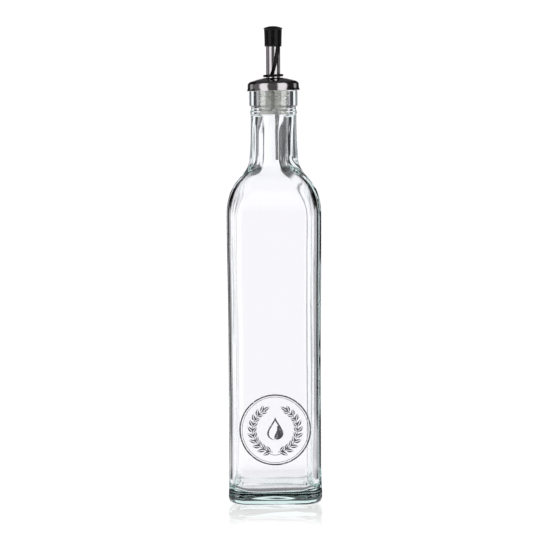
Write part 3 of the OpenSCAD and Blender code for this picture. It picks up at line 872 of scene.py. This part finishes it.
# Each stop is a direction in degrees, clockwise from straight behind, and its brightness.
stops = [
    (-180, SHADE), (-156, SHADE), (-151, BRIGHT), (-120, BRIGHT), (-113, DIM), (-76, DIM), (-72, CARD),
    (-58, CARD), (-53, DARK), (-24, DARK), (-17, SWEEP), (16, SWEEP), (21, DARK), (53, DARK), (58, CARD),
    (72, CARD), (77, DARK), (113, DARK), (119, BRIGHT), (157, BRIGHT), (162, SHADE), (180, SHADE),
]
glass_stops = [
    (-180, SHADE), (-156, SHADE), (-151, BRIGHT), (-120, BRIGHT), (-115, DARK), (-111, DARK),
    (-106, SWEEP), (-75, SWEEP), (-72, CARD), (-58, CARD), (-53, DARK), (-24, DARK), (-17, SWEEP),
    (16, SWEEP), (21, DARK), (53, DARK), (58, CARD), (72, CARD), (75, SWEEP), (106, SWEEP),
    (111, DARK), (115, DARK), (119, BRIGHT), (157, BRIGHT), (162, SHADE), (180, SHADE),
]
ramp_scale = 2.0
behind_edge = 8
sweep_cut = 0.94
table_low, table_rise = 0.25, 0.75
ceiling_dark, ceiling_rise = 0.05, 0.95
world = bpy.data.worlds.new("studio")
world.use_nodes = True
bpy.context.scene.world = world
tree = world.node_tree
tree.nodes.clear()
link = tree.links.new


def maths(operation, *values, clamp=False):
    """One Math node of the world. Numbers are set on its sockets, and signals are linked to them."""
    node = tree.nodes.new("ShaderNodeMath")
    node.operation = operation
    node.use_clamp = clamp
    for socket, value in zip(node.inputs, values):
        if isinstance(value, (int, float)):
            socket.default_value = value
        else:
            link(value, socket)
    return node.outputs["Value"]


ray = tree.nodes.new("ShaderNodeSeparateXYZ")
link(tree.nodes.new("ShaderNodeTexCoord").outputs["Generated"], ray.inputs["Vector"])
bearing = maths("ARCTAN2", ray.outputs["X"], ray.outputs["Y"])
bearing = maths("ADD", maths("DIVIDE", bearing, 2 * np.pi), 0.5)


def round_light(stops):
    """Brightness of the surroundings in each direction round the bottle, straight between the stops.
    A ramp holds colours up to 1, so brightness is divided by a scale and multiplied back."""
    ramp = tree.nodes.new("ShaderNodeValToRGB")
    for position, (degrees, level) in enumerate(stops):
        if position < 2:
            element = ramp.color_ramp.elements[position]
            element.position = degrees / 360 + 0.5
        else:
            element = ramp.color_ramp.elements.new(degrees / 360 + 0.5)
        element.color = (level / ramp_scale,) * 3 + (1,)
    link(bearing, ramp.inputs["Fac"])
    return maths("MULTIPLY", ramp.outputs["Color"], ramp_scale)


def band(low, high):
    """Rises from 0 to 1 as a ray climbs from one elevation to another, in degrees."""
    node = tree.nodes.new("ShaderNodeMapRange")
    node.interpolation_type = "SMOOTHSTEP"
    node.inputs["From Min"].default_value = np.sin(np.radians(low))
    node.inputs["From Max"].default_value = np.sin(np.radians(high))
    link(ray.outputs["Z"], node.inputs["Value"])
    return node.outputs["Result"]


def part(level, share):
    """A level times a share of it."""
    return maths("MULTIPLY", level, share)


def rest(share):
    """What a share leaves of 1."""
    return maths("SUBTRACT", 1, share)


path = tree.nodes.new("ShaderNodeLightPath")
in_glass = maths("MULTIPLY", path.outputs["Transmission Depth"], 1, clamp=True)
walls_up, ceiling, table_up = band(-12.5, -8), band(36, 54), band(-55, -40)
behind = maths("MULTIPLY", ray.outputs["Y"], behind_edge, clamp=True)
over_sweep = part(behind, part(band(13, 19), sweep_cut))
plain_round = part(round_light(stops), rest(in_glass))
round_all = maths("ADD", plain_round, part(round_light(glass_stops), in_glass))
sides = part(part(part(round_all, walls_up), rest(ceiling)), rest(over_sweep))
floor_level = maths("ADD", part(table_up, table_rise), table_low)
floor_light = part(rest(walls_up), floor_level)
overhead = part(ceiling, maths("ADD", part(in_glass, ceiling_rise), ceiling_dark))
level = maths("ADD", maths("ADD", sides, overhead), floor_light)
seen = path.outputs["Is Camera Ray"]
level = maths("ADD", part(level, rest(seen)), part(seen, white_level))
background = tree.nodes.new("ShaderNodeBackground")
background.inputs["Color"].default_value = (1.0, 0.965, 1.0, 1)
link(level, background.inputs["Strength"])
output = tree.nodes.new("ShaderNodeOutputWorld")
link(background.outputs["Background"], output.inputs["Surface"])
bpy.context.scene.view_settings.view_transform = "Standard"
bpy.context.scene.cycles.max_bounces = 24
bpy.context.scene.cycles.transmission_bounces = 24
bpy.context.scene.cycles.glossy_bounces = 12
